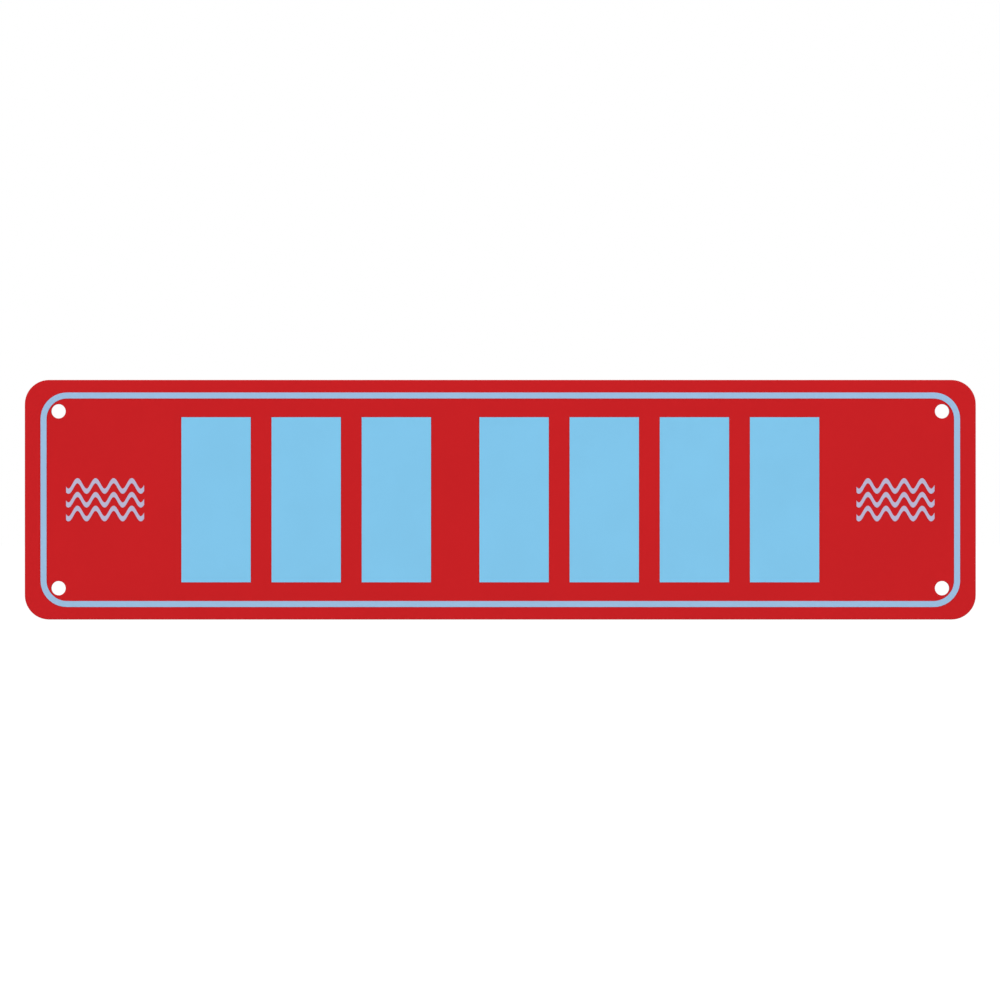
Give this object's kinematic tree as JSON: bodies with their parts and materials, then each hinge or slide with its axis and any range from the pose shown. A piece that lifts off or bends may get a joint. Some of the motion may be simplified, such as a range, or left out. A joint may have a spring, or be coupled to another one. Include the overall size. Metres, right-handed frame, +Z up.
{
  "type": "street name sign",
  "caption": "Flat sign plate with rounded corners and a screw hole in each, a border line, wavy lines at both ends and a row of plain upright blocks as its legend.",
  "frame": {"origin": "centre of the plate's flat back face, which lies against the wall or post", "axes": "+X along the sign's length, to the reader's right; +Z up; the front faces -Y, and +Y points out of the back face into the wall"},
  "size_m": [0.4, 0.0022, 0.1008],
  "materials": {
    "painted_plate": "satin red paint on aluminium sheet",
    "border_film": "pale blue film",
    "wave_film": "pale lilac film",
    "legend_film": "sky blue film"
  },
  "bodies": {
    "root": {"sign_plate": "painted_plate", "border_line": "border_film", "left_wave_top": "wave_film", "left_wave_middle": "wave_film", "left_wave_bottom": "wave_film", "right_wave_top": "wave_film", "right_wave_middle": "wave_film", "right_wave_bottom": "wave_film", "legend_block_1": "legend_film", "legend_block_2": "legend_film", "legend_block_3": "legend_film", "legend_block_4": "legend_film", "legend_block_5": "legend_film", "legend_block_6": "legend_film", "legend_block_7": "legend_film"}
  },
  "joints": []
}
